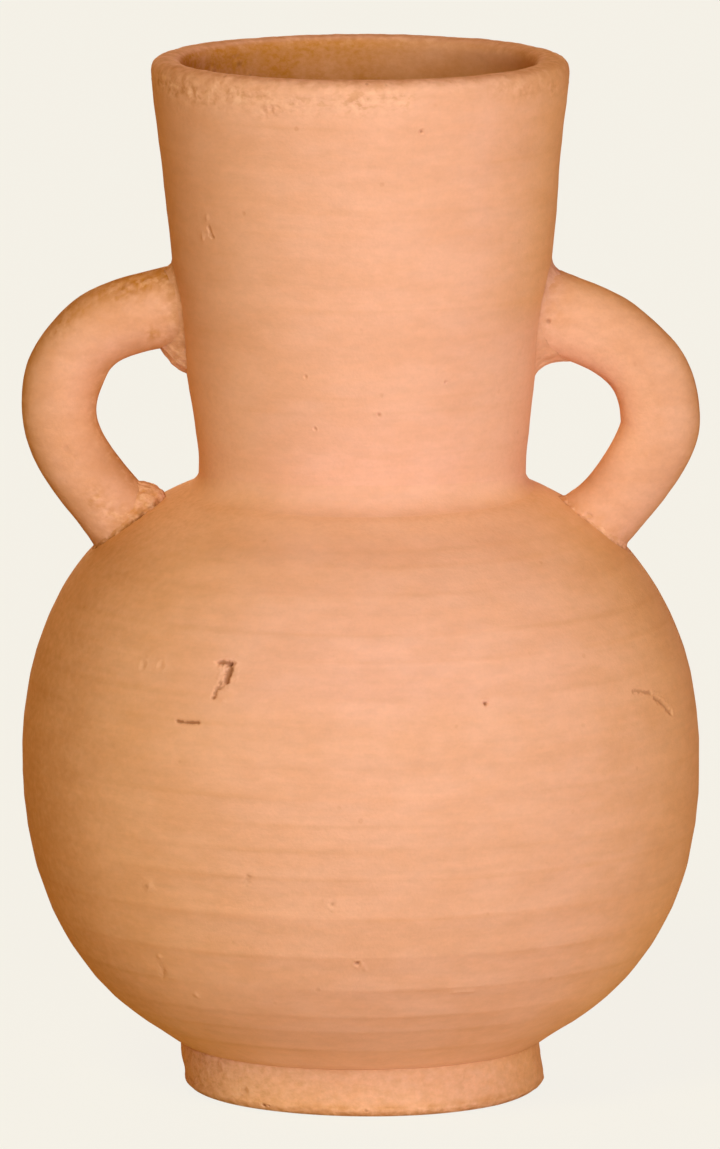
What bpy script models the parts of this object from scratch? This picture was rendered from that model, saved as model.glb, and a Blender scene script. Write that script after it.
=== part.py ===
"""Two-handled terracotta bud vase, thrown in sections and luted together with slip.

A foot ring, a globular belly, a flared neck and two pulled handles are each made by
themselves and joined leather-hard. The foot and the neck meet the belly in keyed joints,
each handle sits on the curved wall at both ends, and soft clay is worked round every
handle root and into the angle under the neck. Metres, +Z up, the origin on the surface
that the vase stands on, and the handles on the X axis.
"""

from math import cos, hypot, pi, radians, sin

import bmesh
import bpy
from mathutils import Matrix, Vector
from mathutils.geometry import interpolate_bezier

# Foot ring
FOOT_RADIUS = 0.0278
FOOT_HEIGHT = 0.0075
FOOT_WIDTH = 0.0072
FOOT_EDGE_ROUND = 0.0014
FOOT_INNER_LEAN = 0.0008

# Belly, a little fuller below its widest level than above it
BELLY_RADIUS = 0.0522
BELLY_RISE = 0.0446
SHOULDER_RISE = 0.0422
BELLY_WALL = 0.0050
FLOOR_THICKNESS = 0.0062
UNDERSIDE_ANGLE = radians(32.3)
UNDERSIDE_REACH = 0.0095
LOWER_FULLNESS = 0.0303
UPPER_FULLNESS = 0.0331
SHOULDER_ANGLE = radians(27)
SHOULDER_REACH = 0.0040

# Neck and its rounded lip
NECK_BASE_RADIUS = 0.0251
NECK_HEIGHT = 0.0657
NECK_WALL = 0.0049
NECK_BASE_RUN = 0.0095
NECK_FLARE_SHARE = 1.05
MOUTH_RADIUS = 0.0320
LIP_DEPTH = 0.0100
LIP_SWELL = 0.0007
LIP_ROUND = 0.0022

# Luted joints: the film of slip, the V ridge of a keyed joint and the band under the neck
SLIP_GAP = 0.0003
KEY_DEPTH = 0.0012
KEY_SHARE = 0.5
NECK_BAND_LEG = 0.0014

# Throwing rings, the shallow finger grooves that run round the outside
RING_PITCH = 0.0064
BELLY_RING_DEPTH = 0.00018
NECK_RING_DEPTH = 0.00009
RING_FADE = 0.0040
ROWS_PER_RING = 3

# Handles, along the middle of the coil. Rises are above the neck joint, and "stand" is
# how far the widest place stands off the neck's base. Each was bent by hand, so each has
# its own bend. SEAT_RUN is along the shoulder, from the neck joint to a handle's seat.
SEAT_RUN = 0.0127
HANDLE_FLATTENING = 0.0002
ROOT_FLARE = 0.0004
ROOT_FLARE_RUN = 0.0060
LEFT_HANDLE = {
    "thickness": 0.0119,
    "taper": 0.0004,
    "root_rise": 0.0271,
    "root_pull": 0.0120,
    "root_dip": 0.0015,
    "stand": 0.0211,
    "stand_rise": 0.0115,
    "upper_pull": 0.0103,
    "lower_pull": 0.0058,
    "seat_angle": radians(50),
    "seat_pull": 0.0102,
}
RIGHT_HANDLE = {
    "thickness": 0.0128,
    "taper": 0.0009,
    "root_rise": 0.0265,
    "root_pull": 0.0108,
    "root_dip": 0.0028,
    "stand": 0.0207,
    "stand_rise": 0.0093,
    "upper_pull": 0.0105,
    "lower_pull": 0.0043,
    "seat_angle": radians(39),
    "seat_pull": 0.0038,
}

# Soft clay worked round the handle roots: its thickness at the wall inside the handle's
# eye and outside it, and how far it runs up the handle in the eye. It thins to COIL_EDGE
# in a hollow curve, and COIL_SHORT is the share of its run that it has on the outside.
COIL_EDGE = 0.0003
COIL_SHORT = 0.4
COIL_HOLLOW = 1.5
COILS = {
    "left_upper": {"eye": 0.0034, "outside": 0.0006, "run": 0.0062},
    "left_lower": {"eye": 0.0018, "outside": 0.0006, "run": 0.0042},
    "right_upper": {"eye": 0.0024, "outside": 0.0006, "run": 0.0056},
    "right_lower": {"eye": 0.0010, "outside": 0.0006, "run": 0.0036},
}

# Fineness of the meshes
TURNS = 48
HANDLE_SIDES = 14
HANDLE_STEP = 0.0030
COIL_STEP = 0.0015
CURVE_POINTS = 200
INNER_ROW = 0.0100
ROUND_STEPS = 4
EMBED = 0.0040

# Levels that the pieces share
NECK_JOINT = FOOT_HEIGHT + BELLY_RISE + SHOULDER_RISE
MOUTH_LEVEL = NECK_JOINT + NECK_HEIGHT


def clear_scene():
    for thing in list(bpy.data.objects):
        bpy.data.objects.remove(thing)


def clay(name, colour, roughness):
    """A fired clay: a matt Principled BSDF in the given colour."""
    material = bpy.data.materials.new(name)
    material.use_nodes = True
    shader = material.node_tree.nodes["Principled BSDF"]
    shader.inputs["Base Color"].default_value = (*colour, 1.0)
    shader.inputs["Roughness"].default_value = roughness
    shader.inputs["Metallic"].default_value = 0.0
    material.diffuse_color = (*colour, 1.0)
    return material


def curve(start, start_pull, end_pull, end):
    """Fine points of one Bezier curve between two knots, each a (radius, height) pair."""
    corners = [Vector(pair) for pair in (start, start_pull, end_pull, end)]
    return [tuple(point) for point in interpolate_bezier(*corners, CURVE_POINTS)]


def lengths(points):
    """The running length of a line at each of its points."""
    run = [0.0]
    for a, b in zip(points, points[1:]):
        run.append(run[-1] + hypot(b[0] - a[0], b[1] - a[1]))
    return run


def blend(a, b, share):
    return (a[0] + (b[0] - a[0]) * share, a[1] + (b[1] - a[1]) * share)


def point_at(points, run, distance):
    """The point that lies this far along a line whose running lengths are given."""
    last = len(points) - 1
    k = next((k for k in range(1, last) if run[k] >= distance), last)
    share = (distance - run[k - 1]) / (run[k] - run[k - 1])
    return blend(points[k - 1], points[k], min(max(share, 0.0), 1.0))


def spaced(points, spacing):
    """The same line with its points evenly spaced, about this far apart."""
    run = lengths(points)
    rows = max(2, round(run[-1] / spacing))
    return [point_at(points, run, run[-1] * row / rows) for row in range(rows + 1)]


def moved_out(points, distance):
    """A line moved sideways. Positive is away from the axis on a line that runs upwards."""
    moved = []
    last = len(points) - 1
    for k, (radius, height) in enumerate(points):
        a, b = points[max(k - 1, 0)], points[min(k + 1, last)]
        length = hypot(b[0] - a[0], b[1] - a[1])
        moved.append(
            (
                radius + distance * (b[1] - a[1]) / length,
                height - distance * (b[0] - a[0]) / length,
            )
        )
    return moved


def crossing(points, index, value):
    """Where a line last passes this radius (index 0) or height (index 1)."""
    for a, b in zip(points[-2::-1], points[:0:-1]):
        if min(a[index], b[index]) <= value <= max(a[index], b[index]):
            return blend(a, b, (value - a[index]) / (b[index] - a[index]))
    return points[-1]


def lower_belly():
    """The belly's smooth outside from the foot up to its widest level."""
    widest = FOOT_HEIGHT + BELLY_RISE
    underside_pull = (
        FOOT_RADIUS + UNDERSIDE_REACH * cos(UNDERSIDE_ANGLE),
        FOOT_HEIGHT + UNDERSIDE_REACH * sin(UNDERSIDE_ANGLE),
    )
    return curve(
        (FOOT_RADIUS, FOOT_HEIGHT),
        underside_pull,
        (BELLY_RADIUS, widest - LOWER_FULLNESS),
        (BELLY_RADIUS, widest),
    )


def shoulder():
    """The belly's smooth outside from its widest level up to the neck joint."""
    widest = FOOT_HEIGHT + BELLY_RISE
    shoulder_pull = (
        NECK_BASE_RADIUS + SHOULDER_REACH * cos(SHOULDER_ANGLE),
        NECK_JOINT - SHOULDER_REACH * sin(SHOULDER_ANGLE),
    )
    return curve(
        (BELLY_RADIUS, widest),
        (BELLY_RADIUS, widest + UPPER_FULLNESS),
        shoulder_pull,
        (NECK_BASE_RADIUS, NECK_JOINT),
    )


def belly_outline():
    return lower_belly() + shoulder()[1:]


def neck_outline():
    """The neck's smooth outside, from its joint up to where the lip begins to swell."""
    rise = NECK_HEIGHT - LIP_DEPTH
    top = MOUTH_RADIUS - LIP_SWELL
    flare = (top - NECK_BASE_RADIUS) * NECK_FLARE_SHARE
    return curve(
        (NECK_BASE_RADIUS, NECK_JOINT),
        (NECK_BASE_RADIUS, NECK_JOINT + NECK_BASE_RUN),
        (top - flare, NECK_JOINT + rise * (1 - NECK_FLARE_SHARE)),
        (top, NECK_JOINT + rise),
    )


def ringed(points, depth):
    """Rows of a thrown wall, cut back by the throwing rings, which fade out at both ends."""
    run = lengths(points)
    rings = max(1, round(run[-1] / RING_PITCH))
    rows = rings * ROWS_PER_RING
    smooth = [point_at(points, run, run[-1] * row / rows) for row in range(rows + 1)]
    wall = []
    for row, (crest, groove) in enumerate(zip(smooth, moved_out(smooth, -depth))):
        along = run[-1] * row / rows
        fade = min(1.0, along / RING_FADE, (run[-1] - along) / RING_FADE)
        share = fade * (1 - cos(2 * pi * row / ROWS_PER_RING)) / 2
        wall.append(blend(crest, groove, share))
    return wall


def rounded(centre, across, up, start, end):
    """A quarter or half of an ellipse, from one angle to another, end points included."""
    steps = round(abs(end - start) / (pi / 2) * ROUND_STEPS)
    turns = [start + (end - start) * step / steps for step in range(steps + 1)]
    return [(centre[0] + across * cos(t), centre[1] + up * sin(t)) for t in turns]


def key(inner, outer, level, depth):
    """The V of a keyed joint across a flat ring, from the inside outwards."""
    middle = (inner + outer) / 2
    half = (outer - inner) * KEY_SHARE / 2
    return [(middle - half, level), (middle, level + depth), (middle + half, level)]


def spun(name, outline):
    """A solid turned about the axis from a closed outline of (radius, height) points."""
    mesh = bmesh.new()
    corners = [mesh.verts.new((radius, 0.0, height)) for radius, height in outline]
    edges = [mesh.edges.new(pair) for pair in zip(corners, corners[1:])]
    if outline[0][0] > 0:
        edges.append(mesh.edges.new((corners[-1], corners[0])))
    bmesh.ops.spin(
        mesh,
        geom=corners + edges,
        cent=(0, 0, 0),
        axis=(0, 0, 1),
        angle=2 * pi,
        steps=TURNS,
        use_merge=True,
    )
    bmesh.ops.remove_doubles(mesh, verts=mesh.verts[:], dist=1e-6)
    bmesh.ops.recalc_face_normals(mesh, faces=mesh.faces[:])
    return shaped(name, mesh)


def shaped(name, mesh):
    """A new object from a bmesh, in the scene."""
    data = bpy.data.meshes.new(name)
    mesh.to_mesh(data)
    mesh.free()
    thing = bpy.data.objects.new(name, data)
    bpy.context.scene.collection.objects.link(thing)
    return thing


def finished(thing, material, crease=radians(32)):
    """Gives a piece its clay and shades its round faces smooth."""
    thing.data.materials.append(material)
    thing.data.shade_smooth()
    thing.data.set_sharp_from_angle(angle=crease)
    return thing


def helper(thing):
    """A cutter, which shapes its neighbours and is no part of the vase."""
    thing.hide_render = True
    thing.display_type = "WIRE"
    return thing


def cut(thing, cutter):
    modifier = thing.modifiers.new("cut_by_" + cutter.name, "BOOLEAN")
    modifier.operation = "DIFFERENCE"
    modifier.solver = "EXACT"
    modifier.object = cutter


def foot_ring():
    """The ring that the vase stands on, with a keyed top and a rounded lower edge."""
    inner = FOOT_RADIUS - FOOT_WIDTH
    top = FOOT_HEIGHT - SLIP_GAP
    edge_centre = (FOOT_RADIUS - FOOT_EDGE_ROUND, FOOT_EDGE_ROUND)
    outline = [(inner + FOOT_INNER_LEAN, 0.0)]
    outline += rounded(edge_centre, FOOT_EDGE_ROUND, FOOT_EDGE_ROUND, -pi / 2, 0.0)
    outline.append((FOOT_RADIUS, top))
    outline += key(inner, FOOT_RADIUS, top, KEY_DEPTH)[::-1]
    outline.append((inner, top))
    return spun("foot_ring", outline)


def belly():
    """The hollow globe, grooved below for the foot ring and above for the neck."""
    throat = NECK_BASE_RADIUS - NECK_WALL
    floor = FOOT_HEIGHT + FLOOR_THICKNESS
    inside = [
        point
        for point in spaced(moved_out(belly_outline(), -BELLY_WALL), INNER_ROW)
        if point[1] > floor + BELLY_WALL / 3 and point[0] > throat
    ]
    outline = [(0.0, FOOT_HEIGHT)]
    outline += key(FOOT_RADIUS - FOOT_WIDTH, FOOT_RADIUS, FOOT_HEIGHT, KEY_DEPTH)
    outline += ringed(belly_outline(), BELLY_RING_DEPTH)
    outline += key(throat, NECK_BASE_RADIUS, NECK_JOINT, -KEY_DEPTH)[::-1]
    outline.append((throat, NECK_JOINT))
    outline += inside[::-1]
    outline.append((inside[0][0] - BELLY_WALL, floor))
    outline.append((0.0, floor))
    return spun("belly", outline)


def neck():
    """The flared neck, with a ridge under its base and a rounded, slightly swollen lip."""
    base = NECK_JOINT + SLIP_GAP
    inner = NECK_BASE_RADIUS - NECK_WALL
    lip_centre = (MOUTH_RADIUS - NECK_WALL / 2, MOUTH_LEVEL - LIP_ROUND)
    inside = [
        point
        for point in spaced(moved_out(neck_outline(), -NECK_WALL), INNER_ROW)
        if point[1] > base + NECK_WALL / 2
    ]
    outline = [(inner, base)]
    outline += key(inner, NECK_BASE_RADIUS, base, -KEY_DEPTH)
    outline.append((NECK_BASE_RADIUS, base))
    outline += [p for p in ringed(neck_outline(), NECK_RING_DEPTH) if p[1] > base]
    outline += rounded(lip_centre, NECK_WALL / 2, LIP_ROUND, 0.0, pi)
    outline += inside[::-1]
    return spun("neck", outline)


def band_outline():
    """The band's section, a thin hollow fillet a slip gap off the shoulder and the neck."""
    wall = NECK_BASE_RADIUS + SLIP_GAP
    shoulder_skin = moved_out(shoulder(), SLIP_GAP)
    corner = crossing(shoulder_skin, 0, wall)
    low = crossing(shoulder_skin, 0, wall + NECK_BAND_LEG)
    top = (wall, NECK_JOINT + NECK_BAND_LEG)
    hollow = blend(corner, blend(low, top, 0.5), 2 / 3)
    return [corner, low, hollow, top]


def envelope():
    """A cutter as large as the whole outside of belly, band and neck, plus the slip gap."""
    band = moved_out(band_outline()[1:], SLIP_GAP)
    widest = FOOT_HEIGHT + BELLY_RISE
    belly_skin = moved_out(spaced(belly_outline(), RING_PITCH / 2), SLIP_GAP)
    neck_skin = moved_out(spaced(neck_outline(), RING_PITCH / 2), SLIP_GAP)
    outline = [(0.0, FOOT_HEIGHT)]
    outline += [p for p in belly_skin if p[1] < widest or p[0] > band[0][0]]
    outline += band
    outline += [p for p in neck_skin if p[1] > band[-1][1]]
    outline.append((0.0, outline[-1][1]))
    return helper(spun("envelope", outline))


def handle_line(bend):
    """The middle line of a handle, from the neck down to the shoulder, in the XZ plane."""
    root = crossing(neck_outline(), 1, NECK_JOINT + bend["root_rise"])
    down = shoulder()[::-1]
    seat = point_at(down, lengths(down), SEAT_RUN)
    widest = (NECK_BASE_RADIUS + bend["stand"], NECK_JOINT + bend["stand_rise"])
    upper = curve(
        root,
        (root[0] + bend["root_pull"], root[1] - bend["root_dip"]),
        (widest[0], widest[1] + bend["upper_pull"]),
        widest,
    )
    lower = curve(
        widest,
        (widest[0], widest[1] - bend["lower_pull"]),
        (
            seat[0] + bend["seat_pull"] * cos(bend["seat_angle"]),
            seat[1] + bend["seat_pull"] * sin(bend["seat_angle"]),
        ),
        seat,
    )
    return upper + lower[1:]


def run_on(points, distance):
    """The line with a straight piece of this length added at each end."""
    first, second = Vector(points[0]), Vector(points[1])
    before = first + (first - second).normalized() * distance
    last, previous = Vector(points[-1]), Vector(points[-2])
    after = last + (last - previous).normalized() * distance
    return [tuple(before), *points, tuple(after)]


def coil_radii(bend, along, total):
    """The handle's half thickness and half depth at a distance along its middle line."""
    share = min(max(along / total, 0.0), 1.0)
    nearest = min(max(along, 0.0), max(total - along, 0.0))
    flare = ROOT_FLARE * max(0.0, 1 - nearest / ROOT_FLARE_RUN) ** 2
    half = bend["thickness"] / 2 - bend["taper"] * share + flare
    return half, half - HANDLE_FLATTENING


def stations(end, step):
    count = max(2, round(end / step))
    return [end * k / count for k in range(count + 1)]


def swept(name, line, places, section):
    """A closed tube along a line in the XZ plane.

    section gives half thickness, half depth, a shift towards the outside of the bend, and
    how far the outer side runs ahead of the middle, for each distance along the line.
    """
    run = lengths(line)
    mesh = bmesh.new()
    rings = []
    for distance in places:
        here = point_at(line, run, distance)
        ahead = point_at(line, run, distance + COIL_STEP / 2)
        behind = point_at(line, run, distance - COIL_STEP / 2)
        tangent = Vector((ahead[0] - behind[0], 0, ahead[1] - behind[1])).normalized()
        outward = Vector((-tangent.z, 0, tangent.x))
        thick, deep, shift, lead = section(distance)
        centre = Vector((here[0], 0, here[1])) + outward * shift
        side = outward * thick + tangent * lead
        turned = Matrix((side, Vector((0, deep, 0)), tangent)).transposed().to_4x4()
        made = bmesh.ops.create_circle(
            mesh,
            segments=HANDLE_SIDES,
            radius=1.0,
            matrix=Matrix.Translation(centre) @ turned,
        )
        rings.append(list({edge for vert in made["verts"] for edge in vert.link_edges}))
    for a, b in zip(rings, rings[1:]):
        bmesh.ops.bridge_loops(mesh, edges=a + b)
    for end in (rings[0], rings[-1]):
        bmesh.ops.edgeloop_fill(mesh, edges=end)
    bmesh.ops.recalc_face_normals(mesh, faces=mesh.faces[:])
    return shaped(name, mesh)


def handle(name, bend, wall):
    """A pulled coil bent from the neck to the shoulder, each end cut to sit on the wall."""
    line = run_on(handle_line(bend), EMBED)
    whole = lengths(line)[-1]

    def section(distance):
        thick, deep = coil_radii(bend, distance - EMBED, whole - 2 * EMBED)
        return thick, deep, 0.0, 0.0

    made = swept(name, line, stations(whole, HANDLE_STEP), section)
    cut(made, wall)
    return made


def luting_coil(name, bend, coil, at_neck, wall):
    """Soft clay round one root, thickest and longest in the eye, cut to handle and wall."""
    line = handle_line(bend) if at_neck else handle_line(bend)[::-1]
    line = run_on(line, 2 * EMBED)
    total = lengths(line)[-1] - 4 * EMBED
    outer_side = 1 if at_neck else -1
    reach = coil["run"] * (1 + COIL_SHORT) / 2

    def bore_section(distance):
        along = distance - 2 * EMBED
        thick, deep = coil_radii(bend, along if at_neck else total - along, total)
        return thick + SLIP_GAP, deep + SLIP_GAP, 0.0, 0.0

    def coil_section(distance):
        thick, deep, _, _ = bore_section(distance)
        share = min(max((distance - 2 * EMBED) / reach, 0.0), 1.0)
        thin = (1 - share) ** COIL_HOLLOW
        eye = COIL_EDGE + (coil["eye"] - COIL_EDGE) * thin
        outside = COIL_EDGE + (coil["outside"] - COIL_EDGE) * thin
        mean = (eye + outside) / 2
        lead = (reach - coil["run"]) * share
        shift = outer_side * (outside - eye) / 2
        return thick + mean, deep + mean, shift, outer_side * lead

    begin, end = EMBED, 2 * EMBED + reach
    places = [begin + place for place in stations(end - begin, COIL_STEP)]
    made = swept(name, line, places, coil_section)
    bore_end = 2 * EMBED + 2 * coil["run"]
    bore = swept(name + "_bore", line, stations(bore_end, COIL_STEP), bore_section)
    bore.parent = made
    cut(made, helper(bore))
    cut(made, wall)
    return made


def build():
    clear_scene()
    body_clay = clay("body_clay", (0.66, 0.32, 0.165), 0.90)
    neck_clay = clay("neck_clay", (0.67, 0.33, 0.175), 0.90)
    foot_clay = clay("foot_clay", (0.64, 0.31, 0.160), 0.92)
    handle_clay = clay("handle_clay", (0.68, 0.33, 0.175), 0.88)
    luting_clay = clay("luting_clay", (0.66, 0.34, 0.190), 0.93)

    axis = bpy.data.objects.new("vase_axis", None)
    bpy.context.scene.collection.objects.link(axis)
    wall = envelope()

    pieces = [
        finished(foot_ring(), foot_clay),
        finished(belly(), body_clay),
        finished(neck(), neck_clay),
        finished(spun("neck_band", band_outline()), luting_clay),
    ]
    for side, bend, turn in (("left", LEFT_HANDLE, pi), ("right", RIGHT_HANDLE, 0.0)):
        made = [finished(handle(side + "_handle", bend, wall), handle_clay)]
        for level in ("upper", "lower"):
            name = f"{side}_{level}_luting_coil"
            coil = COILS[f"{side}_{level}"]
            made.append(luting_coil(name, bend, coil, level == "upper", wall))
            finished(made[-1], luting_clay)
        for piece in made:
            piece.rotation_euler.z = turn
        pieces += made
    for piece in pieces:
        piece.parent = axis


build()
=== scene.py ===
import bmesh
import bpy
import numpy as np
from math import cos, pi, radians, sin
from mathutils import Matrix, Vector, noise
from mathutils.bvhtree import BVHTree


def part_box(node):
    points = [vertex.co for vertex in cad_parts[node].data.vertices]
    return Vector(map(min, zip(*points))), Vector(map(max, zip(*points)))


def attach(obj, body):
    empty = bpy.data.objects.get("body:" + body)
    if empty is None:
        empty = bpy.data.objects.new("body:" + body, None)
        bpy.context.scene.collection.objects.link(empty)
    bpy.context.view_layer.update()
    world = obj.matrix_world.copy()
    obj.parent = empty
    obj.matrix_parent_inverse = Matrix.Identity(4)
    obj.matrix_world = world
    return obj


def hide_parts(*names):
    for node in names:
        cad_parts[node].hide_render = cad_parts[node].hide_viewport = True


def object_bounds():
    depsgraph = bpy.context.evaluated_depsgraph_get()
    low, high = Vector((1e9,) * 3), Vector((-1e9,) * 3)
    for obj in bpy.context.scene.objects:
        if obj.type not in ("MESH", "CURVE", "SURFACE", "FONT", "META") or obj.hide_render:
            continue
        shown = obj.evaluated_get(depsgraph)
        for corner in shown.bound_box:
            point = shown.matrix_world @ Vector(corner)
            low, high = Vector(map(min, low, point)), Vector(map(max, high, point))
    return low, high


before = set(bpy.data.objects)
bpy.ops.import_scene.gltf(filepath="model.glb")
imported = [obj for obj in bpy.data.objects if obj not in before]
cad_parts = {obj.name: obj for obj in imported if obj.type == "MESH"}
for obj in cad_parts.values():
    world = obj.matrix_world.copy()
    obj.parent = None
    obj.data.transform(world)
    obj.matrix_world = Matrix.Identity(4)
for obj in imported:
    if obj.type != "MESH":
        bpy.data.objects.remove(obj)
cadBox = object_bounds()
print("frame loaded:", ", ".join(sorted(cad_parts)))

# levels and radii that every piece takes from the frame
bellyLow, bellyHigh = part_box("belly")
footRadius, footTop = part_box("foot_ring")[1].x, bellyLow.z
bellyRadius, neckJoint = bellyHigh.x, bellyHigh.z
mouthRadius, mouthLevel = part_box("neck")[1].x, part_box("neck")[1].z
merge = 1e-7  # metres, points closer than this become one
mm = 0.001  # the marks are given in millimetres


# the camera stands where the photograph was taken from: a long lens, a little above level
camera = {
    "distance": 2.5,
    "elevation": radians(8.87),
    "aim": Vector((-0.00003, 0.0, 0.07982)),
    "lens": 509.9,  # millimetres, on a sensor as tall as the picture
    "sensor": 36.0,
    "pictureSize": (720, 1149),
    "clip": (0.1, 30.0),
}


def placed(name, data):
    thing = bpy.data.objects.new(name, data)
    bpy.context.scene.collection.objects.link(thing)
    return thing


def makeCamera():
    data = bpy.data.cameras.new("photoCamera")
    data.lens, data.sensor_width = camera["lens"], camera["sensor"]
    data.clip_start, data.clip_end = camera["clip"]
    thing = placed("photoCamera", data)
    up = camera["elevation"]
    back = Vector((0, -cos(up), sin(up)))
    thing.location = camera["aim"] + back * camera["distance"]
    thing.rotation_euler = (-back).to_track_quat("-Z", "Y").to_euler()
    bpy.context.scene.camera = thing
    bpy.context.view_layer.update()
    return thing


photoCamera = makeCamera()


def rayThrough(pixel):
    # the camera's ray through a pixel of the photograph
    wide, tall = camera["pictureSize"]
    scale = camera["sensor"] / tall / camera["lens"]
    ahead = Vector(((pixel[0] - wide / 2) * scale, (tall / 2 - pixel[1]) * scale, -1))
    return photoCamera.location, (photoCamera.matrix_world.to_3x3() @ ahead).normalized()


print("camera placed")


crestReach = 0.0014  # metres, how far the fine rows go on each side of a crest


# lines in the plane of the profile, as arrays of (radius, height)
def bezier(start, startPull, endPull, end, count=240):
    t = np.linspace(0, 1, count)[:, None]
    a, b, c, d = (np.array(point, float) for point in (start, startPull, endPull, end))
    return a * (1 - t) ** 3 + 3 * b * t * (1 - t) ** 2 + 3 * c * t**2 * (1 - t) + d * t**3


def runOf(line):
    return np.concatenate([[0.0], np.cumsum(np.hypot(*np.diff(line, axis=0).T))])


def alongLine(line, distance, values=None):
    # the line's own points at these distances along it, or other values kept along it
    values = line if values is None else values
    return np.stack([np.interp(distance, runOf(line), values[:, k]) for k in (0, 1)], axis=-1)


def evenly(line, step):
    total = runOf(line)[-1]
    return alongLine(line, np.linspace(0, total, max(2, round(total / step)) + 1))


def rowsOf(line, work, shape):
    # points along a wall's profile, closer together at the crests
    places = [0.0]
    run = runOf(line)
    while places[-1] < run[-1]:
        height = np.interp(places[-1], run, line[:, 1])
        far = np.min(np.abs(np.array(work["crests"]) - height))
        places.append(places[-1] + (shape["fineRow"] if far < crestReach else shape["row"]))
    places[-1] = run[-1]
    return alongLine(line, places)


def slopeOf(line):
    # the line's direction at each of its points
    slope = np.gradient(line, axis=0)
    return slope / np.hypot(*slope.T)[:, None]


def movedOut(line, distance):
    slope = slopeOf(line)
    return line + distance * np.stack([slope[:, 1], -slope[:, 0]], axis=1)


def arc(centre, across, up, start, end, steps, power=1.0):
    # part of an ellipse; a power below 1 makes it squarer
    turn = np.linspace(start, end, steps + 1)
    x, z = (np.sign(part) * np.abs(part) ** power for part in (np.cos(turn), np.sin(turn)))
    return np.stack([centre[0] + across * x, centre[1] + up * z], axis=1)


bellyShape = {
    "widestLevel": footTop + 0.0446,
    "wall": 0.005,
    "floor": 0.0062,
    "undersidePull": (0.008, 0.0051),
    "lowerFullness": 0.0303,
    "upperFullness": 0.0331,
    "shoulderPull": (0.0036, -0.0018),
    "row": 0.0009,
    "fineRow": 0.00036,
    "innerRow": 0.004,
    "turns": 304,
    "near": 0.0008,  # points this close to the profile are on the outside
    "paleShoulder": 0.34,
    "paleFoot": 0.14,
    "leftGrit": 0.14,
    "leftStain": ([0.03, 0.045, 0.055, 0.075], [0.18, 0.24, 0.15, 0.07]),  # painted shade low on the left side: heights, and how much there
}
neckShape = {
    "baseRadius": 0.0251,
    "wall": 0.0049,
    "baseRun": 0.0095,
    "lipDepth": 0.01,
    "lipSwell": 0.0007,
    "lipRound": 0.0022,
    "lipPulls": ((0.0004, 0.003), (0.0, 0.002)),
    "tongue": 0.0012,  # it goes this far down into the belly
    "tongueInset": 0.0003,
    "flare": 1.05,
    "row": 0.0008,
    "fineRow": 0.0004,
    "innerRow": 0.0012,
    "turns": 300,
    "lipFullness": 0.8,  # below 1, the lip is squarer than half an ellipse
    "backDrop": 0.0002,  # the lip stands this much lower at the back
    "rightLip": 0.0005,  # and is this much thicker on the right
    "near": 0.0006,
    "insideStain": ([-0.7, 0.0, 0.35, 0.68, 0.85], [0.96, 0.78, 0.55, 0.26, 0.5]),  # painted shade inside the mouth, from left to right
}


def bellyLine():
    s = bellyShape
    foot, widest = np.array((footRadius, footTop)), (bellyRadius, s["widestLevel"])
    shoulderEnd = np.array((neckShape["baseRadius"], neckJoint))
    lower = bezier(foot, foot + s["undersidePull"], (widest[0], widest[1] - s["lowerFullness"]), widest)
    upper = bezier(
        widest, (widest[0], widest[1] + s["upperFullness"]), shoulderEnd + s["shoulderPull"], shoulderEnd
    )
    return np.vstack([lower, upper[1:]])


def neckLine():
    s = neckShape
    rise = mouthLevel - neckJoint - s["lipDepth"]
    top = mouthRadius - s["lipSwell"]
    flare = (top - s["baseRadius"]) * s["flare"]
    line = bezier(
        (s["baseRadius"], neckJoint),
        (s["baseRadius"], neckJoint + s["baseRun"]),
        (top - flare, neckJoint + rise * (1 - s["flare"])),
        (top, neckJoint + rise),
    )
    lipFoot = np.array((mouthRadius, mouthLevel - s["lipRound"]))
    up, down = s["lipPulls"]
    return np.vstack([line, bezier(line[-1], line[-1] + up, lipFoot - down, lipFoot, 40)[1:]])


wallLine = np.vstack([bellyLine(), neckLine()[1:]])

# what the hand left uneven: rows of a height and how far the axis shifts to the right there
lean = np.array([
    (0.0, 0.00062), (0.0025, 0.0006), (0.005, 0.00016), (0.0075, -0.00003), (0.012, 0.0001),
    (0.024, 0.00024), (0.036, 0.00026), (0.046, 0.00018), (0.056, 0.0001), (0.07, 0.00004),
    (0.082, -0.0001), (0.09, 0.00006), (0.096, 0.0003), (0.104, 0.0003), (0.112, 0.0001),
    (0.126, 0.00024), (0.134, 0.00026), (0.142, 0.00008), (0.16, -0.00002),
])
# and of a height and the extra radius there
fullness = np.array([
    (0.0, -0.0001), (0.0075, -0.0002), (0.01, -0.0003), (0.014, 0.0), (0.024, 0.0001),
    (0.036, 0.0001), (0.046, 0.0), (0.07, -0.0001), (0.09, 0.0001), (0.11, 0.0),
    (0.13, 0.0002), (0.136, 0.0001), (0.144, -0.0001), (0.15, -0.0001), (0.16, 0.0),
])
# painted shade: how much more golden and less blue the clay is made towards its sides, from the left side
# (-1) to the right (1)
toasting = np.array([
    (-1.0, 0.5), (-0.85, 0.58), (-0.7, 0.6), (-0.3, 0.12), (0.0, 0.0), (0.35, 0.02), (0.62, 0.1),
    (0.8, 0.45), (0.93, 0.9), (1.0, 1.0),
])
# and painted light: how much paler and pinker the front is made, by height
blushing = np.array([
    (0.03, 0.0), (0.045, 0.2), (0.053, 0.35), (0.058, 0.35), (0.062, 0.3), (0.0655, 0.5), (0.069, 1.0),
    (0.0735, 1.0), (0.08, 0.7), (0.086, 0.3), (0.0935, 0.4), (0.0955, 0.6), (0.104, 0.5),
    (0.112, 0.1), (0.16, 0.0),
])
# painted light: the sides of the neck made paler, from a height (left and right) down to the shoulder
flanks = {"top": (0.118, 0.124), "foot": 0.0855, "starts": 0.55, "right": 0.6, "worn": 0.42, "blush": 0.5}


def held(share):
    return np.clip(share, 0, 1)


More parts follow.
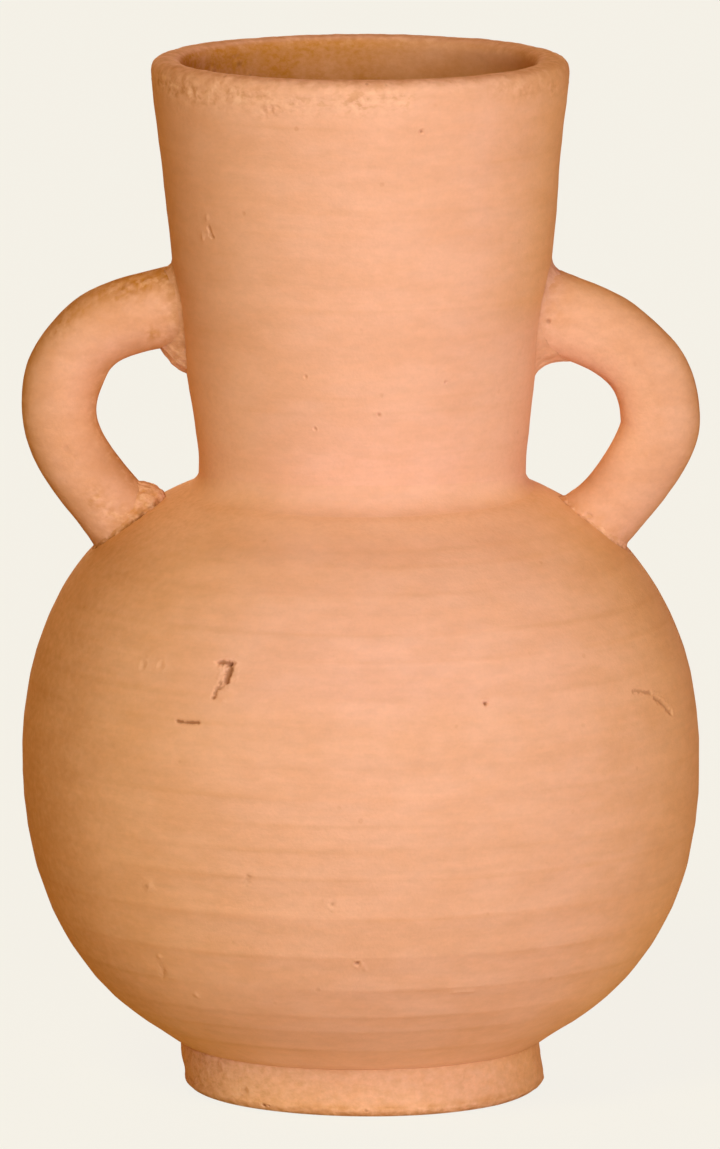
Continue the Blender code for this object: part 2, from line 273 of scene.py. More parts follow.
def eased(share):
    return share**2 * (3 - 2 * share)


def reachOf(points):
    return np.hypot(points[:, 0], points[:, 1])


def asideOf(points):
    # where points are, from the left side (-1) to the right (1)
    return points[:, 0] / np.maximum(wallRadius(points[:, 2]), merge)


def awayFromAxis(points):
    across = points / np.maximum(reachOf(points), merge)[:, None]
    across[:, 2] = 0
    return across


def toasted(points):
    return np.interp(asideOf(points), *toasting.T)


def flanked(points):
    left = points[:, 0] < 0
    side = held((np.abs(asideOf(points)) - flanks["starts"]) / 0.3)
    upper = held((np.where(left, *flanks["top"]) - points[:, 2]) / 0.01)
    return side * upper * held((points[:, 2] - flanks["foot"]) / 0.005) * np.where(left, 1, flanks["right"])


# painted light: the front made paler and pinker, and the paler sides too
def blushed(points, flank):
    front = np.exp(-(((asideOf(points) + 0.1) / 0.65) ** 2)) * (points[:, 1] < 0)
    return np.maximum(np.interp(points[:, 2], *blushing.T) * front, flanks["blush"] * flank)


def smoothly(height, table):
    # a curve without corners through the rows of a table
    slopes = np.gradient(table[:, 1], table[:, 0])
    row = np.clip(np.searchsorted(table[:, 0], height) - 1, 0, len(table) - 2)
    gap = table[row + 1, 0] - table[row, 0]
    t = held((height - table[row, 0]) / gap)
    low = table[row, 1] * (1 + 2 * t) * (1 - t) ** 2 + gap * slopes[row] * t * (1 - t) ** 2
    return low + table[row + 1, 1] * t**2 * (3 - 2 * t) - gap * slopes[row + 1] * t**2 * (1 - t)


def leanAt(height):
    return smoothly(height, lean)


def profileRadius(height):
    return np.interp(height, wallLine[:, 1], wallLine[:, 0])


def wallRadius(height):
    # the smooth outside of foot, belly and neck at this height
    return profileRadius(height) + smoothly(height, fullness)


def onProfile(points, near):
    return np.abs(reachOf(points) - profileRadius(points[:, 2])) < near


def clearOfWall(points):
    return np.hypot(points[:, 0] - leanAt(points[:, 2]), points[:, 1]) - wallRadius(points[:, 2])


def wallNormal(height):
    step = 0.0004
    rise = (wallRadius(height + step) - wallRadius(height - step)) / (2 * step)
    length = np.sqrt(1 + rise**2)
    return 1 / length, -rise / length


# working with bmesh points as arrays
def pointsOf(mesh):
    return np.array([vert.co for vert in mesh.verts])


def setPoints(mesh, points):
    for vert, point in zip(mesh.verts, points):
        vert.co = point


def normalsOf(mesh):
    bmesh.ops.recalc_face_normals(mesh, faces=mesh.faces[:])
    mesh.normal_update()
    return np.array([vert.normal for vert in mesh.verts])


def rough(points, size, seed, detail=3):
    # fractal noise, about -1 to 1, whose largest lumps are this many metres across
    shift = Vector((seed * 7.31, seed * 3.17, seed * 5.71))
    return np.array([noise.fractal(Vector(point) / size + shift, 1.0, 2.0, detail) for point in points])


def spun(outline, turns, marks):
    # a clay wall turned about the axis from a closed outline, with finer faces round its marks
    mesh = bmesh.new()
    corners = [mesh.verts.new((radius, 0, height)) for radius, height in outline]
    edges = [mesh.edges.new(pair) for pair in zip(corners, corners[1:])]
    if outline[0][0] > merge:
        edges.append(mesh.edges.new((corners[-1], corners[0])))
    bmesh.ops.spin(mesh, geom=corners + edges, cent=(0, 0, 0), axis=(0, 0, 1),
                   angle=2 * pi, steps=turns, use_merge=True)
    bmesh.ops.remove_doubles(mesh, verts=mesh.verts[:], dist=merge)
    bmesh.ops.recalc_face_normals(mesh, faces=mesh.faces[:])
    paths = marksOf(marks, mesh)
    refined(mesh, paths)
    return mesh, paths


def rolled(around, along, place):
    # a grid rolled into a tube or a ring: place turns (share around, share along) into points
    mesh = bmesh.new()
    bmesh.ops.create_grid(mesh, x_segments=around, y_segments=along, size=0.5)
    flat = pointsOf(mesh) + 0.5
    setPoints(mesh, place(flat[:, 0], flat[:, 1]))
    bmesh.ops.remove_doubles(mesh, verts=mesh.verts[:], dist=merge)
    return mesh


def fillet(start, pull, end, sunk, rows):
    # a ring of soft clay: its face bows from start to end towards pull, and its root is sunk
    columns = len(start)

    def place(around, along):
        column = np.rint(around * columns).astype(int) % columns
        row = np.rint(along * (rows + 2)).astype(int)
        t = held(row / rows)[:, None]
        points = start[column] * (1 - t) ** 2 + pull[column] * 2 * t * (1 - t) + end[column] * t**2
        points[row == rows + 1] = sunk[column[row == rows + 1]]
        points[row == rows + 2] = start[column[row == rows + 2]]
        return points

    return rolled(columns, rows + 2, place)


def meshed(name, mesh, material):
    data = bpy.data.meshes.new(name)
    mesh.to_mesh(data)
    mesh.free()
    data.materials.append(material)
    return placed(name, data)


def finished(name, mesh, material, slot, node, **shares):
    # the bmesh as a piece that stands for its CAD node, with what its points tell the clay
    bmesh.ops.recalc_face_normals(mesh, faces=mesh.faces[:])
    thing = meshed(name, mesh, material)
    data = thing.data
    for key, values in shares.items():
        values = np.full(len(data.vertices), values, np.float32)
        data.attributes.new(key, "FLOAT", "POINT").data.foreach_set("value", values)
    data.shade_smooth()
    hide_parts(node)
    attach(thing, "root")
    print(name, "has", len(data.polygons), "faces")


# marks in the clay. Each runs through pixels of the photograph, or is "at" points. Half its width, its
# depth (below 0 it is a bump) and its grit are in millimetres; dark, stain, rim and ragged are shares
def markAt(pixels, width, depth=0.0, grit=0.0, **more):
    return {"pixels": pixels, "width": width * mm, "depth": depth * mm, "grit": grit * mm, **more}


def markPoints(mark, tree):
    if "at" in mark:
        return [Vector(point) for point in mark["at"]]
    found = [tree.ray_cast(*rayThrough(pixel))[0] for pixel in mark["pixels"]]
    return [point for point in found if point is not None]


def refined(mesh, paths, cuts=4, margin=0.0006):
    # finer faces round the marks
    centres = np.array([face.calc_center_median() for face in mesh.faces])
    near = np.zeros(len(centres), bool)
    for mark, points in paths:
        if mark["width"] < 0.001:  # only the narrow ones need it
            near |= distanceTo(centres, points) < 2.2 * mark["width"] + margin
    mesh.faces.ensure_lookup_table()
    edges = {edge for k in np.flatnonzero(near) for edge in mesh.faces[k].edges}
    bmesh.ops.subdivide_edges(mesh, edges=list(edges), cuts=cuts, use_grid_fill=True)


def distanceTo(points, path):
    # from each point to a line through the path's points
    best = np.full(len(points), 1.0)
    path = np.array(path)
    for a, b in zip(path, path[1:] if len(path) > 1 else path):
        way = b - a
        share = held((points - a) @ way / max(way @ way, 1e-12))[:, None]
        best = np.minimum(best, np.linalg.norm(points - a - share * way, axis=1))
    return best


def carve(points, paths, seed):
    # how far each point goes in, how dark, how stained and how gritty it is, for a piece's marks
    depth, dark, stain, grit = (np.zeros(len(points)) for _ in range(4))
    for number, (mark, path) in enumerate(paths):
        far = distanceTo(points, path)
        close = np.flatnonzero(far < 4 * mark["width"])
        if not len(close):
            continue
        ragged = 1 + mark.get("ragged", 0.35) * rough(points[close], 0.0006, seed + number, 2)
        share = far[close] / (mark["width"] * ragged)
        hollow = np.exp(-share**2)
        rim = mark.get("rim", 0.0) * np.exp(-((share - 1.9) ** 2) / 0.35)
        depth[close] += mark["depth"] * (hollow - rim)
        if mark["grit"]:
            depth[close] += mark["grit"] * hollow * rough(points[close], 0.0011, seed + number, 3)
            grit[close] = np.maximum(grit[close], 1500 * mark["grit"] * hollow)
        if "stain" in mark:
            patchy = held(0.35 + 1.5 * rough(points[close], 0.0009, seed + number + 9, 3))
            stain[close] = np.maximum(stain[close], mark["stain"] * hollow * patchy)
        dark[close] = np.maximum(dark[close], mark.get("dark", 0) * np.exp(-((share * 1.15) ** 4)))
    return depth, dark, stain, grit


def marksOf(marks, mesh):
    tree = BVHTree.FromBMesh(mesh)
    found = [(mark, markPoints(mark, tree)) for mark in marks]
    return [(mark, points) for mark, points in found if points]


# the crests between the bands that the fingers left; each band is a shallow hollow
bellyWork = {
    "crests": [0.003, 0.0083, 0.0118, 0.0155, 0.0183, 0.0231, 0.0286, 0.0351, 0.0414, 0.0458, 0.0497, 0.0539,
               0.0585, 0.0646, 0.068, 0.0735, 0.0773, 0.0828, 0.0865, 0.0885, 0.0905, 0.0924, 0.096],
    "slope": {0.0: 0.14, 0.035: 0.12, 0.062: 0.085, 0.08: 0.07, 0.1: 0.07},
    "sides": 0.55,
    # line: how dark the painted shade under each crest is
    "line": 0.11,
    "uneven": 0.00008,
    "seed": 1,
}
neckWork = {
    "crests": [0.09, 0.102, 0.1087, 0.1111, 0.1201, 0.1246, 0.1288, 0.1364, 0.14, 0.147, 0.153, 0.1567,
               0.1578, 0.162],
    "slope": {0.09: 0.04, 0.16: 0.04},
    "sides": 0.3,
    # line: how dark the painted shade under each crest is
    "line": 0.09,
    "uneven": 0.00006,
    "seed": 2,
}


def banded(points, work):
    # how far out the bands stand, and how dark the painted shade line under each crest is
    turn = np.arctan2(points[:, 1], points[:, 0])
    ring = np.stack([np.cos(turn), np.sin(turn), np.zeros(len(turn))], axis=1)
    height = points[:, 2] + 0.00035 * slowly(ring, 1.3, work["seed"])
    crests = np.array(work["crests"])
    out, line = np.zeros(len(points)), np.zeros(len(points))
    for number, (low, high) in enumerate(zip(crests, crests[1:])):
        share = (height - low) / (high - low)
        within = np.flatnonzero((share >= 0) & (share < 1))
        strength = np.clip(0.85 + 1.1 * slowly(ring[within], 0.8, work["seed"] + 3 * number + 11), 0.15, 1.7)
        strength *= 1 - work["sides"] * ring[within, 0] ** 2
        hollow = share[within] * (1 - share[within])
        slope = np.interp(low, list(work["slope"]), list(work["slope"].values()))
        out[within] -= slope * (high - low) * hollow * strength
        near = np.flatnonzero(np.abs(height - low) < 0.0015)
        strength = held(0.5 + 1.3 * slowly(ring[near], 0.5, work["seed"] + 3 * number + 12))
        side = -1 if low > bellyShape["widestLevel"] + 0.015 and work is bellyWork else 1
        below = side * (low - height[near]) - 0.00035
        line[near] = np.maximum(line[near], strength * np.exp(-((below / 0.00035) ** 2)))
    return out, line


def wallOut(points, work):
    # how far the real wall stands off its smooth profile, and the painted shade lines under its crests
    out, line = banded(points, work)
    out += work["uneven"] * rough(points, 0.016, work["seed"] + 40, 2)
    out += 0.2 * work["uneven"] * rough(points, 0.0035, work["seed"] + 41, 2)
    return out, line


def slowly(ring, size, seed):
    # a smooth value that changes round the axis only, read on a fine circle
    turn = np.linspace(-pi, pi, 361)
    circle = np.stack([np.cos(turn), np.sin(turn), np.full(361, seed * 4.7)], axis=1)
    values = np.array([noise.noise(Vector(point) / size) for point in circle])
    return np.interp(np.arctan2(ring[:, 1], ring[:, 0]), turn, values)


def reshaped(mesh, paths, work, outside):
    # moves a thrown wall's points: snaps the outside to its profile, then adds bands and marks
    points = pointsOf(mesh)
    across = awayFromAxis(points)
    radius = np.where(outside, wallRadius(points[:, 2]), reachOf(points))
    points[:, :2] = across[:, :2] * radius[:, None]
    depth, dark, stain, grit = carve(points, paths, work["seed"] * 50)
    out, line = wallOut(points, work)
    out -= depth
    outR, outZ = wallNormal(points[:, 2])
    points += across * (out * outR * np.where(outside, 1.0, 0.5))[:, None]
    points[:, 2] += out * outZ * outside
    points[:, 0] += leanAt(points[:, 2])
    # the lines under the crests go into the brown share as painted shade
    return points, dark, np.maximum(stain, work["line"] * line * outside), grit


def kept(points):
    # nothing reaches past the CAD model's box
    limit = cadBox[1].x - 0.00001
    points[:, :2] *= np.minimum(1.0, limit / np.maximum(reachOf(points), merge))[:, None]
    points[:, 2] = np.clip(points[:, 2], cadBox[0].z, cadBox[1].z)
    return points


# fired clay: warm and pale where it was wiped, with grain, wheel streaks and darker marks
clays = {
    "body": dict(pale=(0.802, 0.448, 0.322), warm=(0.77, 0.417, 0.284), streaks=0.55, grain=0.6),
    "neck": dict(pale=(0.82, 0.456, 0.34), warm=(0.794, 0.428, 0.303), streaks=0.4, grain=0.6),
    "foot": dict(pale=(0.82, 0.462, 0.306), warm=(0.79, 0.43, 0.272), streaks=0.3, grain=1.1),
    "handle": dict(pale=(0.754, 0.408, 0.288), warm=(0.724, 0.378, 0.252), streaks=0.0, grain=0.9),
    "band": dict(pale=(0.808, 0.45, 0.328), warm=(0.777, 0.42, 0.29), streaks=0.5, grain=0.6),
    "luting": dict(pale=(0.754, 0.41, 0.276), warm=(0.718, 0.372, 0.236), streaks=0.0, grain=1.0,
                   bump=0.0002),
}
# what the shares on the points mix in, one over the other; the golden painted shade and the paler painted
# light multiply the colour, the brown share holds stains and painted shade, the pale one wear and painted
# light, and the darkest marks and some painted shade
tints = {
    "speck": (0.5, 0.2, 0.09, 1),
    "toast": (0.965, 0.95, 0.66, 1),
    "blush": (1.05, 1.07, 1.22, 1),
    "stain": (0.53, 0.215, 0.036, 1),
    "worn": (1.0, 0.61, 0.43, 1),
    "mark": (0.26, 0.09, 0.028, 1),
    "darkCrumb": (0.5, 0.21, 0.06, 1),
    "paleCrumb": (1.0, 0.64, 0.45, 1),
}


def addNode(tree, kind, inputs=None, **settings):
    node = tree.nodes.new("ShaderNode" + kind)
    for key, value in settings.items():
        setattr(node, key, value)
    for key, value in (inputs or {}).items():
        if isinstance(value, bpy.types.NodeSocket):
            tree.links.new(value, node.inputs[key])
        else:
            node.inputs[key].default_value = value
    return node


def firedClay(name, look):
    streaks, grain = look["streaks"], look["grain"]
    material = bpy.data.materials.new(name)
    material.use_nodes = True
    tree = material.node_tree
    shader = tree.nodes["Principled BSDF"]
    place = addNode(tree, "TexCoord").outputs["Object"]

    def given(key):
        return addNode(tree, "Attribute", attribute_name=key).outputs["Fac"]

    def stretched(scale):
        return addNode(tree, "Mapping", {"Vector": place, "Scale": scale}).outputs["Vector"]

    def noisy(scale, size, detail, roughness=0.55):
        return addNode(tree, "TexNoise", {
            "Vector": stretched(scale), "Scale": size, "Detail": detail, "Roughness": roughness,
        }).outputs["Fac"]

    def ranged(value, low, high, toLow, toHigh):
        return addNode(tree, "MapRange", {
            "Value": value, "From Min": low, "From Max": high, "To Min": toLow, "To Max": toHigh,
        }, interpolation_type="SMOOTHSTEP").outputs["Result"]

    def plus(a, b, operation="ADD"):
        return addNode(tree, "Math", {0: a, 1: b}, operation=operation).outputs[0]

    def times(a, b):
        return plus(a, b, "MULTIPLY")

    def mixed(share, a, b, way="MIX"):
        inputs = {0: share, 6: a, 7: b}
        return addNode(tree, "Mix", inputs, data_type="RGBA", blend_type=way).outputs[2]

    blotches = noisy((1, 1, 2.4), 95, 4)
    streak = noisy((0.05, 0.05, 1), 620, 3)
    broadStreak = noisy((0.09, 0.09, 1), 190, 2)
    fine = noisy((1, 1, 1), 2100, 3, 0.7)
    mottle = noisy((0.6, 0.6, 1), 800, 3, 0.6)
    patches = noisy((1, 1, 1.5), 1000, 4, 0.65)
    dashes = noisy((0.25, 0.25, 1), 800, 3, 0.6)
    crumbs = noisy((1, 1, 1.4), 760, 2)
    speck = addNode(tree, "TexVoronoi", {"Vector": stretched((1, 1, 1)), "Scale": 620})
    chance = addNode(tree, "SeparateColor", {0: speck.outputs["Color"]}).outputs[0]
    spot = times(ranged(speck.outputs["Distance"], 0.12, 0.34, 1, 0), ranged(chance, 0.984, 0.996, 0, 1))

    pale, warm = ((*look[key], 1.0) for key in ("pale", "warm"))
    colour = mixed(ranged(blotches, 0.36, 0.64, 0, 1), warm, pale)
    # each noise, the range of it that counts, and how far it darkens and lightens the clay
    shades = [
        (streak, 0.3, 0.7, 0.035 * streaks, 0.03 * streaks),
        (broadStreak, 0.3, 0.7, 0.03 * streaks, 0.025 * streaks),
        (fine, 0.25, 0.75, 0.03 * grain, 0.03 * grain),
        (dashes, 0.3, 0.7, 0.04 * streaks, 0.035 * streaks),
        (mottle, 0.3, 0.7, 0.04 * grain, 0.035 * grain),
    ]
    shade = 1.0
    for value, low, high, darker, paler in shades:
        shade = times(shade, ranged(value, low, high, 1 - darker, 1 + paler))
    grey = addNode(tree, "CombineColor", {0: shade, 1: shade, 2: shade}).outputs[0]
    colour = mixed(1.0, colour, grey, "MULTIPLY")
    colour = mixed(times(spot, 0.2), colour, tints["speck"])
    for key in ("toast", "blush"):
        colour = mixed(given(key), colour, tints[key], "MULTIPLY")
    grit = given("grit")
    layers = {
        "stain": times(given("stain"), ranged(patches, 0.3, 0.7, 0.85, 1.15)),
        "worn": times(given("worn"), ranged(patches, 0.6, 0.4, 0.8, 1.2)),
        "mark": given("mark"),
        "darkCrumb": times(grit, ranged(crumbs, 0.5, 0.66, 0, 0.8)),
        "paleCrumb": times(grit, ranged(crumbs, 0.48, 0.34, 0, 0.8)),
    }
    for key, share in layers.items():
        colour = mixed(share, colour, tints[key])
    tree.links.new(colour, shader.inputs["Base Color"])

    tree.links.new(ranged(fine, 0.3, 0.7, 0.84, 0.97), shader.inputs["Roughness"])
    shader.inputs["Specular IOR Level"].default_value = 0.03
    height = times(fine, 0.5 * grain)
    for value, share in ((streak, 0.5 * streaks), (mottle, 0.7 * grain), (spot, -0.35),
                         (times(crumbs, -3.0), grit)):
        height = plus(height, times(value, share))
    bump = addNode(tree, "Bump", {
        "Height": height, "Strength": 1.0, "Distance": look.get("bump", 0.00014),
    })
    tree.links.new(bump.outputs["Normal"], shader.inputs["Normal"])
    return material


clayOf = {key: firedClay(key + "Clay", look) for key, look in clays.items()}
print("clays mixed")


# belly: a thrown globe, its wall as thick as the solid's
bellyMarks = [
    markAt([(219, 662.5), (225, 662), (229.5, 663.5)], 0.38, 0.5, dark=0.72, rim=0.1, ragged=1.0),
    markAt([(229.5, 664), (228.5, 670), (227, 675), (225.5, 681)],
           0.52, 0.6, dark=0.8, rim=0.15, ragged=1.0),
    markAt([(220.5, 683), (217, 688.5), (214, 693)], 0.36, 0.3, dark=0.6, ragged=1.0),
    markAt([(212.5, 697)], 0.36, 0.3, dark=0.8, ragged=0.5),
    markAt([(235, 677)], 0.4, -0.14),
    markAt([(222, 700)], 0.4, -0.14),
    markAt([(176, 721), (185, 722.5), (197, 722.5)], 0.28, 0.3, dark=0.75, ragged=0.7),
    markAt([(485.5, 703.5)], 0.36, 0.4, dark=0.9, rim=0.4),
    markAt([(634, 691), (642, 691), (651, 692.5)], 0.34, 0.2, dark=0.38, ragged=0.9),
    markAt([(655, 697), (663, 703), (672, 712)], 0.4, 0.3, dark=0.36, ragged=0.8, rim=0.2),
    markAt([(142, 665)], 0.5, 0.12, dark=0.08, rim=0.4),
    markAt([(160, 665)], 0.5, 0.12, dark=0.08, rim=0.4),
    markAt([(147, 887)], 0.8, -0.22, grit=0.12),
    markAt([(247, 878), (244, 884)], 0.6, 0.14, dark=0.15, grit=0.12),
    markAt([(331, 905)], 0.36, 0.2, dark=0.35, ragged=0.8),
    markAt([(325, 903), (329, 912)], 1.0, -0.06, grit=0.12),
    markAt([(355.5, 963.5)], 0.34, 0.4, dark=0.7, rim=0.3),
    markAt([(360, 964), (364, 970)], 0.3, -0.15),
    markAt([(158, 957)], 0.5, -0.18),
    markAt([(160, 967), (162, 976)], 0.7, 0.08, dark=0.06, grit=0.12),
    markAt([(195, 995)], 0.5, -0.15),
    markAt([(452, 992), (470, 991)], 0.4, -0.12),
]


def makeBelly():
    s = bellyShape
    outer = rowsOf(bellyLine(), bellyWork, s)
    throat = neckShape["baseRadius"] - neckShape["wall"]
    floorLevel = footTop + s["floor"]
    inner = evenly(movedOut(bellyLine(), -s["wall"]), s["innerRow"])
    inner = inner[(inner[:, 1] > floorLevel + s["wall"] / 3) & (inner[:, 0] > throat)]
    floorEdge = (inner[0][0] - s["wall"], floorLevel)
    outline = np.vstack([
        (0, footTop), (footRadius * 0.5, footTop), outer, (throat, neckJoint),
        inner[::-1], floorEdge, (footRadius * 0.4, floorLevel), (0, floorLevel),
    ])
    mesh, paths = spun(outline, s["turns"], bellyMarks)
    outside = onProfile(pointsOf(mesh), s["near"])
    points, dark, stain, grit = reshaped(mesh, paths, bellyWork, outside)
    z = points[:, 2]
    shoulder = held((z - 0.0885) / 0.004)
    low = held((0.0135 - z) / 0.004)
    worn = s["paleShoulder"] * eased(shoulder) + s["paleFoot"] * low
    setPoints(mesh, kept(points))
    left, flank = held(-asideOf(points)), flanked(points)
    grit = np.maximum(grit, s["leftGrit"] * held(2.5 * left - 1.4))
    # painted shade low on the left side of the belly
    stain += held((left - 0.75) / 0.2) * np.interp(z, *s["leftStain"])
    # painted light: paler sides high on the shoulder
    worn = np.maximum(worn, flanks["worn"] * flank)
    finished("bellyWall", mesh, clayOf["body"], "body_clay", "belly", mark=dark, stain=stain, worn=worn,
             grit=grit, toast=toasted(points), blush=blushed(points, flank))


makeBelly()


# neck: thrown apart from the belly, with a thick uneven lip
neckMarks = [
    markAt([(367, 84)], 0.3, 0.3, dark=0.45, rim=0.3),
    markAt([(369, 71)], 0.6, -0.3),
    markAt([(271, 109)], 0.5, 0.2, dark=0.12, rim=0.3),
    markAt([(422, 132)], 0.3, 0.3, dark=0.6, rim=0.3),
    markAt([(208, 229), (210.5, 237)], 0.36, 0.2, dark=0.25, ragged=0.8),
    markAt([(202, 237)], 0.5, -0.15),
    markAt([(206, 218)], 0.5, -0.1),
    markAt([(378, 415)], 0.28, 0.2, dark=0.35, rim=0.3),
    markAt([(313, 429)], 0.22, 0.2, dark=0.3, rim=0.3),
    markAt([(305, 377)], 0.22, 0.2, dark=0.25, rim=0.3),
    markAt([(445, 382)], 0.22, 0.2, dark=0.25, rim=0.3),
    markAt([(386, 85)], 0.3, 0.2, dark=0.25, rim=0.3),
    markAt([(213, 70)], 0.5, 0.3, dark=0.3, rim=0.4),
    markAt([(238, 62)], 0.5, 0.3, dark=0.35, rim=0.4),
    markAt([(250, 74)], 0.4, 0.3, dark=0.3, rim=0.4),
    markAt([(225, 76)], 0.4, 0.3, dark=0.3, rim=0.4),
    markAt([(552, 52)], 0.9, 0.3),
    markAt([(176, 84), (205, 90), (250, 98)], 2.6, grit=0.18),
    markAt([(262, 112), (275, 108)], 1.6, -0.1, grit=0.16),
    markAt([(500, 88), (540, 82)], 1.8, grit=0.14),
]


def makeNeck():
    s = neckShape
    base = neckJoint - s["tongue"]
    line = neckLine()
    lipLevel = mouthLevel - s["lipRound"]
    half = s["wall"] / 2
    lip = arc((mouthRadius - half, lipLevel), half, s["lipRound"], 0, pi, 24, s["lipFullness"])
    inner = evenly(movedOut(line[line[:, 1] < lipLevel - 0.001], -s["wall"]), s["innerRow"])
    inner = inner[inner[:, 1] > base + s["wall"]]
    outline = np.vstack([
        (s["baseRadius"] - s["wall"], base), (s["baseRadius"] - s["tongueInset"], base),
        rowsOf(line, neckWork, s), lip[1:], inner[::-1],
    ])
    mesh, paths = spun(outline, s["turns"], neckMarks)
    points = pointsOf(mesh)
    outside = onProfile(points, s["near"]) & (points[:, 2] < lipLevel) & (points[:, 2] > neckJoint)
    points, dark, stain, grit = reshaped(mesh, paths, neckWork, outside)
    z = points[:, 2]
    high = eased(held((z - (mouthLevel - 0.025)) / 0.025))
    behind = (points[:, 1] / mouthRadius + 1) / 2
    points[:, 2] -= s["backDrop"] * high * behind
    reach = reachOf(points)
    bore = wallRadius(z) - reach > s["wall"] * 0.6
    points[:, 0] -= s["rightLip"] * high * bore * held(points[:, 0] / mouthRadius) ** 2
    lipShare = held((z - (mouthLevel - 0.006)) / 0.003)
    lumps = lipShare * rough(points, 0.0014, 65, 3)
    points[:, 2] += lipShare * (0.00013 * rough(points, 0.007, 61, 3) - 0.00004) + 0.00005 * lumps
    points[:, :2] *= 1 + (0.00009 * lumps / reach)[:, None]
    # painted shade inside the mouth, more on the left
    within = held((-clearOfWall(points) - s["wall"] * 0.7) / (s["wall"] * 0.25))
    level = mouthLevel - z
    blotch = held(0.88 + 0.3 * rough(points, 0.005, 63, 4))
    aside = np.clip(points[:, 0] / mouthRadius, -1, 1)
    inside = np.interp(aside, *s["insideStain"])
    stain = np.maximum(inside * within * held((level - 0.0003) / 0.0005) * blotch, stain)
    # painted shade on the lip's upward-facing top, patchy
    top = held(1 - level / 0.0022)
    stain = np.maximum(stain, top * held(0.13 + 0.3 * rough(points, 0.0026, 66, 3)))
    # darker still towards the right of the lip's outer band and top
    edge = np.exp(-(((level - 0.0028) / 0.002) ** 2)) * (1 - within)
    stain = np.maximum(stain, (0.18 * edge + 0.15 * top) * held(2 * aside - 0.5))
    broken = np.clip(0.45 + 1.3 * rough(points, 0.0016, 67, 3), 0, 1.6)
    worn = edge * broken * np.clip(0.38 - 0.4 * aside + 0.6 * rough(points, 0.008, 64, 3), 0.05, 1)
    patchy = np.clip(0.16 - 0.3 * aside + 0.9 * rough(points, 0.008, 68, 2), 0.03, 0.6)
    grit = np.maximum(grit, np.maximum(0.32 * top, edge * patchy))
    setPoints(mesh, kept(points))
    # painted shade: golden at the sides, stronger on the upper right, and inside the mouth
    right = held(8 * aside) * held((z - 0.119) / 0.005)
    toast = np.maximum((0.45 + 0.6 * right) * toasted(points) * (1 - within), 0.3 * within)
    # painted light: paler sides of the neck
    flank = flanked(points) * (1 - within)
    finished("neckWall", mesh, clayOf["neck"], "neck_clay", "neck", mark=dark, stain=stain, grit=grit,
             worn=0.4 * worn + flanks["worn"] * flank, toast=toast, blush=blushed(points, flank))


makeNeck()


# foot ring: thick, rounded below, leaning a little to the right as it was turned
footShape = {
    "width": 0.0072,
    "edge": 0.0016,
    "innerLean": 0.0008,
    "sunk": 0.001,
    "turns": 320,
    "worn": {-180: 0.5, -150: 0.5, -120: 0.45, -95: 0.28, -70: 0.12, -40: 0.1, -15: 0.5, 60: 0.1, 180: 0.5},
}
footMarks = [
    markAt([(259, 1107.5)], 0.35, 0.4, dark=0.8),
    markAt([(264, 1108)], 0.25, 0.3, dark=0.6),
    markAt([(240, 1090)], 0.6, 0.15, dark=0.1),
    markAt([(362, 1112)], 0.3, 0.3, dark=0.4),
]


def makeFoot():
    s = footShape
    inner = footRadius - s["width"]
    edge = arc((footRadius - s["edge"], s["edge"]), s["edge"], s["edge"], -pi / 2, 0, 10)
    side = evenly(np.array([(footRadius, s["edge"]), (footRadius, footTop)]), 0.0005)
    innerSide = evenly(np.array([(inner, footTop), (inner + s["innerLean"], 0.0004)]), 0.001)
    outline = np.vstack([
        (inner + s["innerLean"] + 0.0004, 0), edge, side[1:], (footRadius - s["sunk"], footTop + s["sunk"]),
        (inner + s["sunk"], footTop + s["sunk"]), innerSide,
    ])
    mesh, paths = spun(outline, s["turns"], footMarks)
    points = pointsOf(mesh)
    depth, dark, stain = carve(points, paths, 80)[:3]
    z = points[:, 2]
    reach, across = reachOf(points), awayFromAxis(points)
    standing = z > 0.0002
    out = 0.00012 * rough(points, 0.009, 81, 3) + 0.00007 * rough(points, 0.0016, 82, 2)
    outer = reach > footRadius - 0.002
    radius = smoothly(z, fullness)
    points += across * ((out - depth) * standing + radius * outer)[:, None]
    lip = np.exp(-(((z - 0.0011) / 0.00045) ** 2)) * outer
    points += across * (0.00011 * lip)[:, None]
    turn = np.degrees(np.arctan2(points[:, 1], points[:, 0]))
    worn = np.interp(turn, list(s["worn"]), list(s["worn"].values()))
    edge = held((reach - footRadius + 0.0035) / 0.0035) * held(1 - z / 0.004)
    points[:, 2] += 0.001 * worn * edge**1.5
    points[:, 0] += leanAt(z)
    high = held(1 - (footTop - z) / 0.0018)
    line = np.exp(-(((z - 0.0017) / 0.0005) ** 2))
    patchy = held(0.6 + 0.9 * rough(points, 0.0035, 83, 3))
    # painted shade at the top of the foot under the belly, and a patchy darker line low on its side
    stain = np.maximum(stain, np.maximum(0.3 * high**1.5, 0.55 * line * patchy))
    stain = np.maximum(stain, 0.16 * patchy * held(0.5 + rough(points, 0.0012, 84, 3)))
    # painted contact shadow along the bottom edge
    stain = np.maximum(stain, 0.5 * held(1 - z / 0.0014))
    # painted light: the left of the foot made paler
    pale = 0.45 * held(-1.6 * points[:, 0] / footRadius - 0.3)
    setPoints(mesh, kept(points))
    under = held(1 - z / 0.0024)
    grit = np.maximum(0.14 + 0.4 * pale, 0.6 * under)
    finished("footRing", mesh, clayOf["foot"], "foot_clay", "foot_ring", mark=dark, stain=stain, worn=pale,
             grit=grit, toast=toasted(points))


makeFoot()


# neck band: the fillet of soft clay wiped into the angle between neck and shoulder
bandShape = {"up": 0.0015, "down": 0.0015, "front": 0.002, "tuck": 0.00004, "sunk": 0.0012, "turns": 320,
             "rows": 14}


